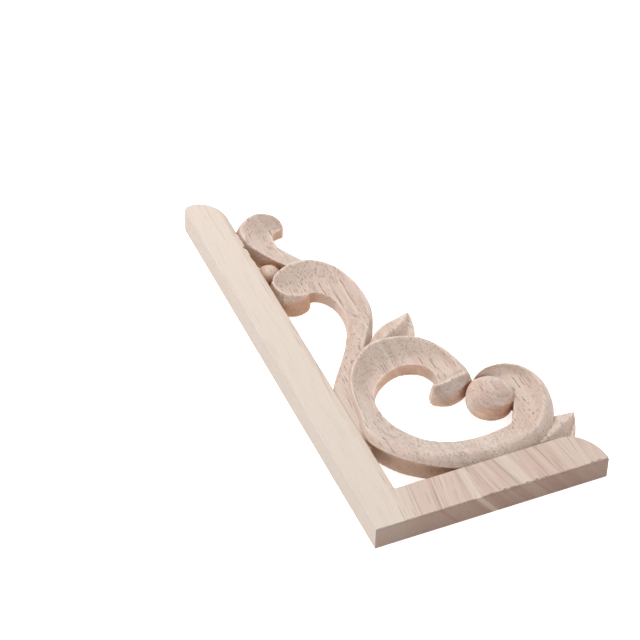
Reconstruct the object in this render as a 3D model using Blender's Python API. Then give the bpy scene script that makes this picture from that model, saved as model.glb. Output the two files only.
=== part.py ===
"""Carved wooden corner onlay: a flat L of two square-edged legs with scrollwork in its angle.

It lies on its plain back, face up: the short leg runs along +X and the long leg along +Y.
The drawing below is in millimetres from the outer corner of the L, on the back. The part's own
origin is in the middle of the corner block, half a leg's width in from both outer edges.
"""
from math import cos, pi, radians, sin

import bmesh
import bpy
import numpy as np

MM = 0.001
MERGE = 0.01 * MM
CREASE_ANGLE = 32        # edges sharper than this stay crisp in the shading

# The board and the two legs
BOARD = 13.2
LONG_LENGTH = 253.8
LONG_WIDTH = 19.8
SHORT_LENGTH = 126.5
SHORT_WIDTH = 21.8
LONG_NOSE = 5.2          # the blunt nose at the outer edge of the long leg's end
LONG_SWEEP = 17.5        # how far the end's big curve runs back along the inner edge
SHORT_SWEEP = 16.5
END_STEPS = 12
NOSE_STEPS = 6
ORIGIN = (LONG_WIDTH / 2, SHORT_WIDTH / 2)

# Below the back: every form starts a little below it, at its own depth, and one flat cut trims them all
TRIM_DEPTH = 4.0
TRIM_MARGIN = 30.0

# A band's top has six heights: outer edge, half-way up to the ridge, ridge, two in the dish, inner edge
RISE_SHARE = 0.5
DISH_SHARES = (0.3, 0.7)
SHOULDER = 0.42          # a flared wall reaches its full width at this share of its height

# Round forms
BALL_CENTRE = (94.6, 67.0)
BALL_PROFILE = ((0.0, 13.0), (3.6, 12.7), (7.0, 11.9), (9.8, 10.8), (11.5, 9.7), (12.2, 8.6), (12.0, 4.0),
                (11.7, 0.0))
BALL_STEPS = 32
BALL_DEPTH = 3.0
BUD_CENTRE = (26.8, 194.6)
BUD_PROFILE = ((0.0, 8.2), (2.6, 7.8), (4.8, 6.6), (6.2, 4.6), (6.7, 2.4), (6.9, 0.0))
BUD_STRETCH = 1.15
BUD_STEPS = 20
BUD_DEPTH = 3.4

# The long strand: a dished head against the long leg, an arch, and a tail that runs down beside the loop
# and sinks into its flank. Each cut gives its outer and inner edge as seen from above.
STRAND_CUTS = (
    (23.1, 180.6, 23.2, 179.6),
    (25.0, 186.0, 23.9, 174.8),
    (29.6, 190.3, 26.3, 170.6),
    (35.2, 192.9, 31.2, 167.9),
    (41.6, 194.0, 36.0, 167.3),
    (48.6, 192.8, 40.0, 169.6),
    (55.2, 188.4, 44.0, 169.0),
    (60.4, 181.4, 47.4, 165.6),
    (63.9, 171.6, 49.5, 160.6),
    (65.6, 159.6, 50.3, 153.4),
    (64.9, 148.4, 49.4, 145.6),
    (62.0, 139.2, 47.2, 139.2),
    (58.0, 131.4, 43.7, 132.2),
    (53.6, 124.6, 39.0, 123.9),
    (47.4, 115.6, 33.2, 115.6),
    (39.8, 107.4, 26.2, 106.2),
    (34.2, 98.6, 20.6, 96.6),
    (31.0, 88.4, 18.6, 86.4),
    (29.4, 76.6, 18.6, 74.6),
    (28.8, 66.0, 18.6, 64.2),
    (31.0, 57.0, 21.6, 54.6),
)
STRAND_SPACING = 3.8
STRAND_DEPTH = 1.0
# (cut, share of the width at the ridge, six heights, flare of the outer wall, flare of the inner wall)
STRAND_HEIGHTS = (
    (0, 0.10, (9.6, 9.6, 9.6, 9.6, 9.6, 9.6), 0.6, 3.0),
    (2, 0.07, (9.9, 10.2, 10.2, 8.5, 8.5, 10.0), 0.3, 5.4),
    (3, 0.07, (10.0, 10.3, 10.3, 8.1, 7.8, 9.9), 0.3, 4.6),
    (4, 0.07, (10.0, 10.3, 10.3, 8.0, 7.1, 8.8), 0.0, 2.2),
    (5, 0.07, (10.0, 10.3, 10.3, 8.2, 6.9, 7.6), 0.0, 0.0),
    (6, 0.07, (9.8, 10.1, 10.2, 8.5, 7.1, 7.1), 0.0, 0.0),
    (8, 0.07, (9.1, 9.5, 9.7, 8.8, 7.7, 7.2), 0.0, 0.0),
    (10, 0.12, (8.2, 9.2, 9.8, 9.4, 8.4, 7.4), 0.0, 0.0),
    (12, 0.20, (7.2, 8.6, 10.0, 9.8, 8.9, 7.8), 0.0, 0.0),
    (13, 0.22, (6.8, 8.6, 10.3, 10.0, 9.2, 8.2), 0.0, 0.0),
    (14, 0.22, (8.6, 9.4, 10.3, 10.1, 9.4, 8.4), 0.0, 0.0),
    (16, 0.22, (8.0, 9.0, 9.9, 9.6, 9.2, 8.4), 0.0, 0.0),
    (18, 0.22, (7.6, 8.8, 9.7, 9.5, 9.1, 8.4), 0.0, 0.0),
    (19, 0.22, (7.6, 8.8, 9.6, 9.6, 9.3, 8.6), 0.0, 0.0),
    (20, 0.22, (7.0, 7.6, 8.0, 8.0, 7.8, 7.4), 0.0, 0.0),
)

# The loop: a broad dished band from its curled inner end round to the thin end that laps over the ball.
# Outer edge first. At the top that edge is a raised rim; lower down the band rolls over a ridge.
LOOP_CUTS = (
    (90.2, 80.6, 72.2, 80.9),
    (91.2, 88.4, 74.3, 87.2),
    (90.1, 96.2, 73.9, 93.6),
    (86.6, 104.6, 71.0, 98.6),
    (80.4, 113.4, 66.2, 101.4),
    (71.9, 118.9, 60.6, 102.4),
    (62.0, 121.4, 54.6, 101.2),
    (52.0, 120.9, 49.2, 98.4),
    (42.8, 115.4, 44.4, 94.6),
    (35.2, 107.4, 40.6, 89.4),
    (30.2, 97.8, 38.2, 84.0),
    (27.3, 86.4, 37.5, 77.8),
    (25.2, 75.0, 38.1, 71.0),
    (21.6, 63.4, 40.2, 64.2),
    (24.4, 52.4, 44.4, 56.8),
    (31.4, 41.4, 50.2, 50.2),
    (42.0, 32.4, 58.0, 45.4),
    (56.0, 25.0, 67.4, 42.6),
    (74.0, 20.8, 78.0, 41.9),
    (94.0, 21.8, 88.2, 42.9),
    (108.4, 29.4, 95.8, 45.4),
    (117.2, 40.6, 101.2, 54.0),
    (121.9, 53.4, 105.3, 61.6),
    (122.8, 65.6, 107.1, 69.6),
    (119.2, 76.0, 104.2, 76.6),
    (111.4, 82.6, 98.8, 79.8),
    (101.4, 84.2, 93.6, 79.6),
    (93.0, 80.9, 89.6, 77.6),
    (88.2, 77.0, 87.4, 76.0),
)
LOOP_HEIGHTS = (
    (0, 0.06, (8.4, 8.7, 8.9, 9.0, 9.0, 8.4), 0.0, 0.0),
    (2, 0.06, (9.0, 9.4, 9.6, 8.0, 7.4, 7.8), 0.0, 0.0),
    (5, 0.06, (10.7, 11.1, 11.1, 8.7, 7.0, 7.3), 0.0, 0.0),
    (9, 0.06, (10.6, 11.0, 11.0, 8.7, 7.2, 7.4), 0.0, 0.0),
    (11, 0.07, (10.1, 10.5, 10.6, 8.9, 7.7, 7.6), 0.0, 0.0),
    (12, 0.12, (9.7, 10.3, 10.7, 9.4, 8.4, 7.8), 0.0, 0.0),
    (13, 0.20, (9.6, 10.6, 11.2, 10.2, 8.9, 7.9), 0.0, 0.0),
    (14, 0.26, (10.0, 11.0, 11.5, 10.5, 9.1, 8.0), 0.0, 0.0),
    (15, 0.27, (10.6, 11.4, 11.7, 10.6, 9.2, 8.0), 0.0, 0.0),
    (18, 0.41, (8.6, 10.8, 11.8, 10.8, 9.2, 7.9), 0.0, 0.0),
    (20, 0.33, (8.6, 10.8, 11.8, 9.8, 8.1, 7.8), 0.0, 0.0),
    (22, 0.20, (8.8, 10.6, 11.3, 8.8, 7.4, 7.4), 0.0, 0.0),
    (24, 0.17, (8.8, 10.2, 10.8, 8.2, 6.8, 6.4), 0.0, 0.0),
    (26, 0.22, (8.0, 9.2, 9.6, 8.8, 8.0, 7.2), 0.0, 0.0),
    (28, 0.30, (7.2, 7.8, 8.0, 8.0, 7.8, 7.4), 0.0, 0.0),
)
LOOP_SPACING = 3.4
LOOP_DEPTH = 1.4

# The curled inner end of the loop, as cuts fanned out from its beak across to the ball: lower edge first,
# with the crest where the loop's dish stops, and beyond it a side that sinks into the dish
CURL_CUTS = (
    (70.4, 82.6, 72.8, 83.8),
    (69.9, 79.6, 74.2, 85.0),
    (71.9, 77.0, 76.4, 85.4),
    (75.8, 75.9, 79.4, 85.6),
    (80.4, 75.6, 83.0, 85.8),
    (85.4, 76.4, 87.0, 85.6),
    (89.4, 78.6, 90.4, 85.0),
)
CURL_HEIGHTS = (
    (0, 0.50, (6.4, 7.8, 8.6, 8.4, 7.4, 6.4), 3.4, 0.0),
    (1, 0.50, (6.6, 8.1, 9.0, 8.7, 7.4, 6.2), 3.2, 0.0),
    (2, 0.50, (6.8, 8.4, 9.3, 8.9, 7.2, 6.0), 2.8, 0.0),
    (5, 0.50, (7.0, 8.5, 9.4, 8.9, 7.2, 6.0), 2.0, 0.0),
    (6, 0.50, (7.6, 8.7, 9.3, 8.9, 8.2, 7.4), 0.6, 0.0),
)
CURL_SPACING = 1.8
CURL_DEPTH = 1.8

# The small scroll near the top of the long leg: a dished head with a tip to the right, then a stem that
# runs down under the strand's head
HOOK_CUTS = (
    (47.6, 224.6, 46.2, 223.6),
    (47.4, 228.8, 44.2, 223.4),
    (44.6, 233.4, 41.8, 222.9),
    (39.6, 236.6, 39.9, 221.4),
    (34.0, 237.2, 39.0, 218.8),
    (28.6, 234.8, 38.6, 215.8),
    (24.4, 230.4, 38.5, 212.4),
    (22.3, 224.0, 38.6, 208.6),
    (23.0, 216.6, 38.7, 204.8),
    (26.0, 208.6, 39.0, 200.0),
    (30.6, 201.2, 40.4, 194.6),
    (36.0, 194.4, 43.6, 188.6),
    (40.6, 188.6, 47.4, 183.4),
)
HOOK_HEIGHTS = (
    (0, 0.10, (6.6, 6.6, 6.6, 6.4, 6.2, 6.2), 0.0, 0.0),
    (2, 0.07, (9.5, 9.8, 9.8, 7.7, 6.0, 5.9), 0.0, 0.0),
    (4, 0.07, (10.1, 10.5, 10.5, 7.9, 6.0, 6.1), 0.0, 0.0),
    (7, 0.08, (9.9, 10.3, 10.3, 8.0, 6.7, 7.2), 1.2, 0.6),
    (9, 0.12, (8.8, 9.2, 9.2, 7.8, 7.2, 7.4), 3.6, 0.6),
    (11, 0.16, (7.6, 8.0, 8.0, 7.6, 7.2, 7.0), 4.4, 0.6),
    (12, 0.16, (6.0, 6.2, 6.2, 6.2, 6.0, 5.8), 4.4, 0.0),
)
HOOK_SPACING = 2.6
HOOK_DEPTH = 2.2

# The facet that falls away to the right from the scroll's stem down to the back
FLANK_CUTS = (
    (38.4, 216.6, 39.8, 220.4),
    (37.0, 212.8, 41.0, 218.0),
    (36.4, 208.6, 43.7, 212.7),
    (36.6, 203.0, 47.8, 205.9),
    (38.4, 197.0, 51.4, 199.0),
    (42.0, 190.0, 53.4, 192.0),
)
FLANK_HEIGHTS = (
    (0, 0.10, (6.0, 6.0, 6.0, 4.6, 2.2, 0.6), 0.0, 0.0),
    (2, 0.10, (7.2, 7.3, 7.4, 5.6, 2.6, 0.4), 0.0, 0.0),
    (3, 0.12, (7.2, 7.3, 7.3, 5.5, 2.6, 0.4), 0.0, 0.0),
    (5, 0.12, (6.6, 6.6, 6.6, 5.0, 2.4, 0.4), 0.0, 0.0),
)
FLANK_SPACING = 3.2
FLANK_DEPTH = 3.0

# Two pointed leaves: base to tip, upper edge then lower edge, with a ridge between
INNER_LEAF_CUTS = (
    (49.6, 121.0, 62.4, 111.0),
    (58.6, 129.4, 71.5, 113.5),
    (66.5, 134.5, 77.4, 121.2),
    (74.2, 136.4, 80.6, 128.6),
    (80.7, 138.0, 81.4, 136.4),
)
INNER_LEAF_HEIGHTS = (
    (0, 0.25, (6.8, 8.0, 9.2, 7.8, 6.6, 6.4), 0.0, 0.0),
    (1, 0.31, (6.8, 8.2, 9.5, 7.6, 6.4, 6.4), 0.0, 0.0),
    (2, 0.45, (6.8, 8.2, 9.5, 7.5, 6.4, 6.5), 0.0, 0.0),
    (3, 0.46, (7.0, 8.2, 9.1, 7.5, 6.7, 6.7), 0.0, 0.0),
    (4, 0.50, (7.4, 7.8, 8.2, 7.6, 7.0, 6.8), 0.0, 0.0),
)
END_LEAF_CUTS = (
    (101.0, 34.0, 102.0, 17.0),
    (110.0, 38.8, 112.4, 16.0),
    (118.4, 41.3, 120.2, 24.4),
    (123.6, 40.8, 124.8, 31.6),
    (128.0, 39.9, 128.0, 38.8),
)
END_LEAF_HEIGHTS = (
    (0, 0.50, (6.8, 8.0, 9.2, 7.8, 6.6, 6.6), 0.0, 0.0),
    (1, 0.40, (6.8, 8.2, 9.5, 7.8, 6.4, 6.4), 0.0, 0.0),
    (2, 0.46, (6.8, 8.2, 9.5, 7.7, 6.4, 6.5), 0.0, 0.0),
    (3, 0.56, (7.0, 8.2, 9.1, 7.7, 6.7, 6.7), 0.0, 0.0),
    (4, 0.50, (7.4, 7.8, 8.2, 7.6, 7.0, 6.8), 0.0, 0.0),
)
LEAF_SPACING = 3.0
LEAF_DEPTH = 2.6

WOOD_COLOUR = (0.60, 0.48, 0.40, 1.0)
WOOD_ROUGHNESS = 0.7


def clear_scene():
    for item in list(bpy.data.objects):
        bpy.data.objects.remove(item)


def placed(x, y, z):
    """A point of the drawing, in the part's own frame and in metres."""
    return ((x - ORIGIN[0]) * MM, (y - ORIGIN[1]) * MM, z * MM)


def natural_spline(knots, values, at):
    """Natural cubic through the values at the knots, read at the places asked for."""
    knots = np.asarray(knots, float)
    values = np.asarray(values, float)
    count = len(knots)
    gaps = np.diff(knots)
    slopes = np.diff(values, axis=0) / gaps[:, None]
    matrix = np.eye(count)
    right = np.zeros_like(values)
    for i in range(1, count - 1):
        matrix[i, i - 1] = gaps[i - 1]
        matrix[i, i] = 2 * (gaps[i - 1] + gaps[i])
        matrix[i, i + 1] = gaps[i]
        right[i] = 6 * (slopes[i] - slopes[i - 1])
    bend = np.linalg.solve(matrix, right)
    cell = np.clip(np.searchsorted(knots, at, side="right") - 1, 0, count - 2)
    gap = gaps[cell][:, None]
    before = ((knots[cell + 1] - at)[:, None]) / gap
    after = 1 - before
    straight = before * values[cell] + after * values[cell + 1]
    curve = (before ** 3 - before) * bend[cell] + (after ** 3 - after) * bend[cell + 1]
    return straight + curve * gap ** 2 / 6


def stations(cuts, heights, spacing):
    """Edges, heights and flares of a band at even steps along it, from its cuts."""
    cuts = np.array(cuts, float)
    middle = (cuts[:, :2] + cuts[:, 2:]) / 2
    outer_run = np.linalg.norm(np.diff(cuts[:, :2], axis=0), axis=1)
    inner_run = np.linalg.norm(np.diff(cuts[:, 2:], axis=0), axis=1)
    middle_run = np.linalg.norm(np.diff(middle, axis=0), axis=1)
    run = np.concatenate([[0], np.cumsum((outer_run + inner_run + middle_run) / 3)])
    steps = max(4, int(run[-1] / spacing))
    at = np.linspace(0, run[-1], steps + 1)
    edges = natural_spline(run, cuts, at)
    places = np.interp(at, run, np.arange(len(cuts)))
    keys = [row[0] for row in heights]
    table = np.array([[row[1], *row[2], row[3], row[4]] for row in heights])
    levels = np.stack([np.interp(places, keys, column) for column in table.T], axis=1)
    return edges, levels


def section(edge, level, depth):
    """One closed cross-section of a band: up the outer wall, across the top and down the inner wall."""
    outer = edge[:2]
    inner = edge[2:]
    across = (inner - outer) / np.linalg.norm(inner - outer)
    ridge = level[0]
    tops = level[1:7]
    flares = level[7:]
    shares = [0, ridge * RISE_SHARE, ridge, *(ridge + (1 - ridge) * share for share in DISH_SHARES), 1]
    outer_foot = outer - across * flares[0]
    inner_foot = inner + across * flares[1]
    ring = [(*outer_foot, -depth), (*outer_foot, tops[0] * SHOULDER)]
    ring += [(*(outer + (inner - outer) * share), height) for share, height in zip(shares, tops)]
    ring += [(*inner_foot, tops[-1] * SHOULDER), (*inner_foot, -depth)]
    return [placed(*point) for point in ring]


def finish(name, mesh):
    """Object from a bmesh, with its faces turned outwards."""
    bmesh.ops.recalc_face_normals(mesh, faces=mesh.faces)
    data = bpy.data.meshes.new(name)
    mesh.to_mesh(data)
    mesh.free()
    item = bpy.data.objects.new(name, data)
    bpy.context.scene.collection.objects.link(item)
    return item


def band(name, cuts, heights, spacing, depth):
    """A carved band: the end face is extruded from one cross-section to the next."""
    edges, levels = stations(cuts, heights, spacing)
    mesh = bmesh.new()
    first = [mesh.verts.new(point) for point in section(edges[0], levels[0], depth)]
    face = mesh.faces.new(first)
    for edge, level in zip(edges[1:], levels[1:]):
        face = bmesh.ops.extrude_discrete_faces(mesh, faces=[face])["faces"][0]
        for vert, point in zip(face.verts, section(edge, level, depth)):
            vert.co = point
    mesh.faces.new(first[::-1])
    return finish(name, mesh)


def turned(name, centre, profile, steps, depth, stretch=1.0):
    """A round form: half a profile spun about an upright axis, then closed below."""
    mesh = bmesh.new()
    points = [placed(centre[0] + radius, centre[1], height) for radius, height in profile]
    points.append(placed(centre[0] + profile[-1][0], centre[1], -depth))
    points.append(placed(centre[0], centre[1], -depth))
    chain = [mesh.verts.new(point) for point in points]
    for above, below in zip(chain, chain[1:]):
        mesh.edges.new((above, below))
    axis = placed(centre[0], centre[1], 0)
    bmesh.ops.spin(mesh, geom=mesh.verts[:] + mesh.edges[:], cent=axis, axis=(0, 0, 1), angle=2 * pi,
                   steps=steps, use_merge=True)
    bmesh.ops.remove_doubles(mesh, verts=mesh.verts, dist=MERGE)
    for vert in mesh.verts:
        vert.co.y = axis[1] + (vert.co.y - axis[1]) * stretch
    return finish(name, mesh)


def quarter(centre, radii, start, steps):
    """Points along a quarter of an ellipse, from the start angle anticlockwise."""
    angles = [radians(start + 90 * i / steps) for i in range(steps + 1)]
    return [(centre[0] + radii[0] * cos(a), centre[1] + radii[1] * sin(a)) for a in angles]


def prism(name, outline, low, high):
    """An outline raised to a solid."""
    mesh = bmesh.new()
    face = mesh.faces.new([mesh.verts.new(placed(x, y, low)) for x, y in outline])
    raised = bmesh.ops.extrude_face_region(mesh, geom=[face])["geom"]
    lifted = [item for item in raised if isinstance(item, bmesh.types.BMVert)]
    bmesh.ops.translate(mesh, verts=lifted, vec=(0, 0, (high - low) * MM))
    return finish(name, mesh)


def legs():
    """The L: straight outer edges, and at each end one big curve back to the inner edge."""
    short_end = quarter((SHORT_LENGTH - SHORT_SWEEP, 0), (SHORT_SWEEP, SHORT_WIDTH), 0, END_STEPS)
    sweep_radii = (LONG_WIDTH - LONG_NOSE, LONG_SWEEP)
    long_sweep = quarter((LONG_NOSE, LONG_LENGTH - LONG_SWEEP), sweep_radii, 0, END_STEPS)
    long_nose = quarter((LONG_NOSE, LONG_LENGTH - LONG_NOSE), (LONG_NOSE, LONG_NOSE), 90, NOSE_STEPS)
    outline = [(0, 0)] + short_end + [(LONG_WIDTH, SHORT_WIDTH)] + long_sweep + long_nose[1:]
    return prism("legs", outline, 0, BOARD)


def trimmer():
    """The block below the back that cuts every form off flat."""
    left = -TRIM_MARGIN
    right = SHORT_LENGTH + TRIM_MARGIN
    far = LONG_LENGTH + TRIM_MARGIN
    return prism("trimmer", ((left, left), (right, left), (right, far), (left, far)), -TRIM_DEPTH, 0)


def wood():
    material = bpy.data.materials.new("pale_wood")
    material.use_nodes = True
    shader = material.node_tree.nodes["Principled BSDF"]
    shader.inputs["Base Color"].default_value = WOOD_COLOUR
    shader.inputs["Roughness"].default_value = WOOD_ROUGHNESS
    material.diffuse_color = WOOD_COLOUR
    return material


def boolean(target, tool, operation):
    """Add the tool to the target, or cut it away."""
    step = target.modifiers.new(tool.name, "BOOLEAN")
    step.operation = operation
    step.solver = "EXACT"
    step.object = tool


def settle(item, tools):
    """Turn the Booleans into the mesh itself, and shade its round forms smooth."""
    evaluated = item.evaluated_get(bpy.context.evaluated_depsgraph_get())
    item.data = bpy.data.meshes.new_from_object(evaluated)
    item.modifiers.clear()
    item.data.shade_smooth()
    item.data.set_sharp_from_angle(angle=radians(CREASE_ANGLE))
    for tool in tools:
        bpy.data.objects.remove(tool)


def main():
    clear_scene()
    onlay = legs()
    onlay.name = "carved_corner_onlay"
    onlay.data.materials.append(wood())
    forms = [
        band("strand", STRAND_CUTS, STRAND_HEIGHTS, STRAND_SPACING, STRAND_DEPTH),
        band("loop", LOOP_CUTS, LOOP_HEIGHTS, LOOP_SPACING, LOOP_DEPTH),
        band("curl", CURL_CUTS, CURL_HEIGHTS, CURL_SPACING, CURL_DEPTH),
        band("hook", HOOK_CUTS, HOOK_HEIGHTS, HOOK_SPACING, HOOK_DEPTH),
        band("flank", FLANK_CUTS, FLANK_HEIGHTS, FLANK_SPACING, FLANK_DEPTH),
        band("inner_leaf", INNER_LEAF_CUTS, INNER_LEAF_HEIGHTS, LEAF_SPACING, LEAF_DEPTH),
        band("end_leaf", END_LEAF_CUTS, END_LEAF_HEIGHTS, LEAF_SPACING, LEAF_DEPTH),
        turned("ball", BALL_CENTRE, BALL_PROFILE, BALL_STEPS, BALL_DEPTH),
        turned("bud", BUD_CENTRE, BUD_PROFILE, BUD_STEPS, BUD_DEPTH, BUD_STRETCH),
    ]
    for form in forms:
        boolean(onlay, form, "UNION")
    block = trimmer()
    boolean(onlay, block, "DIFFERENCE")
    settle(onlay, [*forms, block])


main()
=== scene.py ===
"""Looks of the carved wooden corner onlay: the finished carving, its pale wood, and a soft studio.

The carving is drawn in millimetres from the outer corner of the L, on its back, and every form is laid
over the last one as a closed shell. One fine remesh joins the shells into a single skin, which then
gets its softened, slightly torn edges.
"""
from math import cos, pi, radians, sin

import bmesh
import bpy
import numpy as np
from mathutils import Matrix, Vector
from mathutils.bvhtree import BVHTree


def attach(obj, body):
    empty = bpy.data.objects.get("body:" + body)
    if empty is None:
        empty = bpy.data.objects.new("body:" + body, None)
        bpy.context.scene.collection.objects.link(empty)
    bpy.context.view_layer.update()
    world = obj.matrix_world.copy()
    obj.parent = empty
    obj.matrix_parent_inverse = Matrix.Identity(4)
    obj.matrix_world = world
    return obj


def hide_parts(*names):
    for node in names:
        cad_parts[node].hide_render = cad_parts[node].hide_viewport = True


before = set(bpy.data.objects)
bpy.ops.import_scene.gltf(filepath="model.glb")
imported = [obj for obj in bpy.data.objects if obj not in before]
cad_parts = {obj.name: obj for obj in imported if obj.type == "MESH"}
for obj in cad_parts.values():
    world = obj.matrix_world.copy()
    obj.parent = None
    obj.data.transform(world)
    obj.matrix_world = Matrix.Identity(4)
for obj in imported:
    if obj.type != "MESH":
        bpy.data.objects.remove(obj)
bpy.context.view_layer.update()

NODE = "carved_corner_onlay"
MM = 0.001

# The board and the two legs
BOARD = 13.2
FAR_RIGHT = 128.0
LONG_LENGTH = 253.8
LONG_WIDTH = 19.8
SHORT_LENGTH = 126.5
SHORT_WIDTH = 21.8
LONG_NOSE = 5.2
LONG_SWEEP = 17.5
SHORT_SWEEP = 16.5
END_STEPS = 24
NOSE_STEPS = 12
ORIGIN = (LONG_WIDTH / 2, SHORT_WIDTH / 2)

# How finely a band is modelled: across its top, up its walls, and along it
TOP_STEPS = 26
WALL_STEPS = 9
STEP = 1.1
RISE_SHARE = 0.5
FEWEST_STEPS = 6
DISH_SHARES = (0.3, 0.7)
SHOULDER = 0.42
CRISP_FROM = 0.10
CRISP_TO = 0.18

# The skin
VOXEL = 0.34
SKIN_TRIANGLES = 190000
SOFTENING = 2
SOFTEN_SHARE = 0.5
NORMAL_WEIGHT = 50

# The carving's unevenness, as (height, wavelength, seed), which fades out at the back and the planed face
UNEVEN = ((0.07, 5.5, 1), (0.03, 1.7, 2))
UNEVEN_FADE = 0.6
PLANED_SKIN = 0.05
# The whole numbers that turn a lattice point and a seed into one random value
NOISE_AXES = (73856093, 19349663, 83492791)
NOISE_SEED = 2654435761
NOISE_MIX = 1274126177

# The legs' top edge: its reach, its softness, and its tears, whose waves are (wavelength, seed)
EDGE_REACH = 2.0
EDGE_NEAR = 1.5
EDGE_SOFT = 0.5
EDGE_WAVER = 0.1
X_WAVER = (9.0, 6)
Y_WAVER = (9.0, 7)
FRONT_TORN_FROM = 55
FRONT_TORN_FADE = 12
FRONT_TEAR = 0.9
FRONT_TEAR_WAVES = ((1.7, 3), (0.8, 4))
SCROLL_TORN_AT = 213
SCROLL_TORN_REACH = 18
SCROLL_TEAR = 1.7
SCROLL_TEAR_WAVES = ((1.8, 5), (0.9, 8))
LEG_MARGIN = 0.6

# What is noted on the skin: how edged it is, and how much of its sky is hidden, found with rays
EDGED_ROUNDS = 7
EDGED_FULL = 0.03
HIDDEN_SEED = 5
HIDDEN_RAYS = 6
HIDDEN_REACH = 16.0
HIDDEN_LIFT = 0.15
HIDDEN_LEAN = 1.05
HIDDEN_ROUNDS = 5

# The long strand: a dished head against the long leg, an arch, and a tail that runs down beside the loop
# and sinks into its flank. Each cut gives its outer and inner edge as seen from above.
STRAND_CUTS = (
    (23.1, 180.6, 23.2, 179.6),
    (25.0, 186.0, 23.9, 174.8),
    (29.6, 190.3, 26.3, 170.6),
    (35.2, 192.9, 31.2, 168.3),
    (41.6, 194.0, 36.0, 168.4),
    (48.6, 192.8, 40.2, 170.2),
    (55.2, 188.4, 44.0, 169.2),
    (60.4, 181.4, 47.4, 165.6),
    (63.9, 171.6, 49.5, 160.6),
    (65.6, 159.6, 50.3, 153.4),
    (64.9, 148.4, 49.4, 145.6),
    (62.0, 139.2, 47.2, 139.2),
    (58.0, 131.4, 43.7, 132.2),
    (53.6, 124.6, 39.0, 123.9),
    (47.4, 115.6, 33.2, 115.6),
    (39.8, 107.4, 26.2, 106.2),
    (34.2, 98.6, 20.6, 96.6),
    (31.0, 88.4, 18.6, 86.4),
    (29.4, 76.6, 18.6, 74.6),
    (28.8, 66.0, 18.6, 64.2),
    (31.0, 57.0, 21.6, 54.6),
)
# (cut, share of the width at the ridge, six heights, flare of the outer wall, flare of the inner wall)
STRAND_HEIGHTS = (
    (0, 0.10, (9.6, 9.6, 9.6, 9.6, 9.6, 9.6), 0.6, 0.0),
    (2, 0.10, (9.3, 10.1, 10.2, 8.6, 7.7, 9.0), 0.3, 0.0),
    (3, 0.10, (9.4, 10.2, 10.3, 8.5, 7.1, 8.4), 0.3, 0.0),
    (4, 0.09, (9.5, 10.2, 10.3, 8.4, 6.8, 7.8), 0.0, 0.0),
    (5, 0.08, (9.6, 10.2, 10.3, 8.5, 6.9, 7.3), 0.0, 0.0),
    (6, 0.08, (9.5, 10.1, 10.2, 8.7, 7.2, 7.1), 0.0, 0.0),
    (8, 0.08, (8.9, 9.5, 9.7, 8.8, 7.7, 7.2), 0.0, 0.0),
    (10, 0.12, (8.2, 9.2, 9.8, 9.4, 8.4, 7.4), 0.0, 0.0),
    (12, 0.20, (7.2, 8.6, 10.0, 9.8, 8.9, 7.8), 0.0, 0.0),
    (13, 0.22, (6.8, 8.6, 10.3, 10.0, 9.2, 8.2), 0.0, 0.0),
    (14, 0.22, (8.6, 9.4, 10.3, 10.1, 9.4, 8.4), 0.0, 0.0),
    (16, 0.22, (8.0, 9.0, 9.9, 9.6, 9.2, 8.4), 0.0, 0.0),
    (18, 0.22, (7.6, 8.8, 9.7, 9.5, 9.1, 8.4), 0.0, 0.0),
    (19, 0.22, (7.6, 8.8, 9.6, 9.6, 9.3, 8.6), 0.0, 0.0),
    (20, 0.22, (7.0, 7.6, 8.0, 8.0, 7.8, 7.4), 0.0, 0.0),
)

# The rolled lip round the lower left of the strand's head, which ends bluntly where the arch begins
LIP_CUTS = (
    (23.0, 183.6, 25.4, 182.4),
    (22.9, 178.8, 25.3, 179.0),
    (23.9, 174.2, 26.1, 175.2),
    (26.4, 170.2, 28.0, 172.0),
    (30.6, 167.8, 31.2, 170.2),
    (34.6, 167.1, 34.4, 169.5),
    (37.2, 167.6, 36.3, 169.7),
    (38.7, 168.9, 37.2, 170.4),
)
LIP_HEIGHTS = (
    (0, 0.45, (9.7, 10.3, 10.4, 10.2, 9.2, 8.6), 0.8, 0.0),
    (2, 0.45, (9.8, 10.4, 10.5, 10.2, 9.0, 8.0), 3.2, 0.0),
    (3, 0.45, (9.8, 10.4, 10.5, 10.2, 9.0, 7.8), 5.0, 0.0),
    (4, 0.45, (9.6, 10.3, 10.4, 10.1, 8.8, 7.6), 4.6, 0.0),
    (5, 0.45, (9.2, 9.8, 10.0, 9.7, 8.4, 7.4), 3.0, 0.0),
    (6, 0.45, (8.6, 9.2, 9.3, 9.0, 8.0, 7.2), 1.8, 0.0),
    (7, 0.45, (8.0, 8.5, 8.6, 8.3, 7.6, 7.0), 0.8, 0.0),
)

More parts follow.
